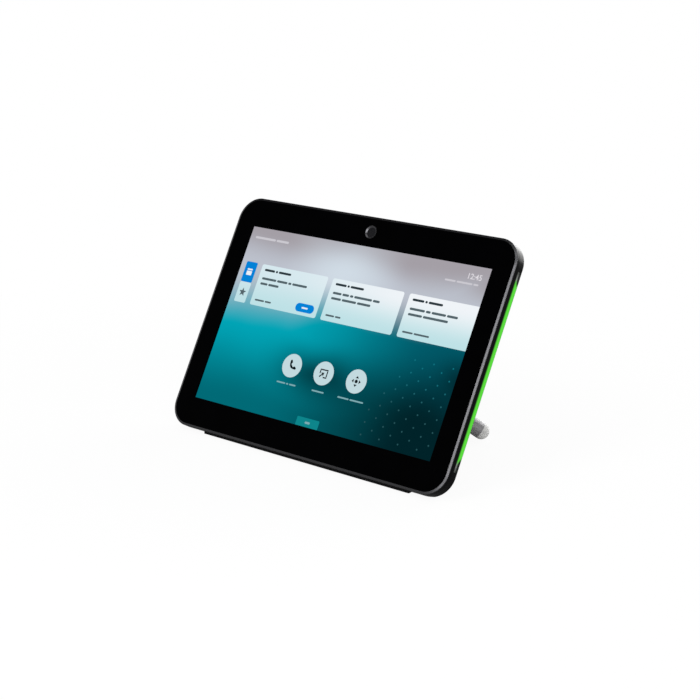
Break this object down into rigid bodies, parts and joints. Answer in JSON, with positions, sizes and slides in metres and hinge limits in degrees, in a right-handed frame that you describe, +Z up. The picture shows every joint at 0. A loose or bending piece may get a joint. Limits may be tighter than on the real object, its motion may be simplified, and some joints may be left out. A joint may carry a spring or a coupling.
{
  "type": "desk touch phone panel",
  "caption": "Tilted desk touch controller: glass-fronted display in a thin dark body with side light bars, a camera, a rear electronics cover and a folding two-legged stand.",
  "frame": {"origin": "centre of the foot strip underside, on the desk", "axes": "+X to the right seen from the front, +Y to the rear, +Z up"},
  "size_m": [0.2516, 0.1303, 0.1609],
  "materials": {
    "cover_glass": "polished, black printed border",
    "glass_tape": "matte foam tape",
    "front_frame": "satin",
    "lcd_panel": "lit picture",
    "backlight_tray": "bare",
    "chassis_plate": "stamped",
    "screws": "plain",
    "dark_screws": "black oxide",
    "camera_ring": "satin anodised",
    "camera_lens": "polished",
    "camera_body": "matte",
    "circuit_board": "solder mask",
    "light_bar": "frosted diffuser",
    "rear_housing": "fine texture",
    "rear_cover": "fine texture",
    "inserts": "turned",
    "metal_shell": "stamped",
    "jack_shell": "moulded",
    "heat_spreader": "bare",
    "transformer": "moulded",
    "button": "matte",
    "stand_metal": "powder coat",
    "leg_tube": "satin anodised",
    "leg_tip": "matte",
    "foot_rubber": "matte",
    "pin_steel": "ground",
    "ribbon": "flat flexible cable",
    "washer": "acetal"
  },
  "bodies": {
    "panel": {"cover_glass": "cover_glass", "glass_tape": "glass_tape", "front_frame": "front_frame", "lcd_panel": "lcd_panel", "backlight_tray": "backlight_tray", "chassis_plate": "chassis_plate", "chassis_screws": "screws", "camera_ring": "camera_ring", "camera_lens": "camera_lens", "camera_barrel": "camera_body", "camera_board": "circuit_board", "light_bar_left": "light_bar", "light_bar_right": "light_bar", "led_strip_left": "circuit_board", "led_strip_right": "circuit_board", "rear_housing": "rear_housing", "housing_screws": "dark_screws", "rear_cover": "rear_cover", "cover_screws": "dark_screws", "wall_inserts": "inserts", "main_board": "circuit_board", "board_spacers": "inserts", "board_screws": "screws", "network_jack": "jack_shell", "usb_jack": "metal_shell", "reset_switch": "camera_body", "processor_shield": "metal_shell", "heat_spreader": "heat_spreader", "power_transformer": "transformer", "stand_bracket": "stand_metal", "bracket_screws": "dark_screws", "hinge_pin": "pin_steel", "hinge_washers": "washer", "pin_clips": "screws", "foot_strip": "foot_rubber", "display_cable": "ribbon"},
    "stand": {"stand_hub": "stand_metal", "stand_leg_left": "leg_tube", "stand_leg_right": "leg_tube", "leg_tip_left": "leg_tip", "leg_tip_right": "leg_tip"},
    "reset_button": {"reset_button": "button"}
  },
  "joints": [
    {"name": "stand_fold", "type": "hinge", "parent": "panel", "child": "stand", "pos_m": [0, 0.06555, 0.06066], "axis": [-1, 0, 0], "range_deg": [0, 72.5]},
    {"name": "reset_press", "type": "slide", "parent": "panel", "child": "reset_button", "axis": [1, 0, 0], "range_m": [0, 0.0006], "stiffness_N_per_m": 1500}
  ]
}
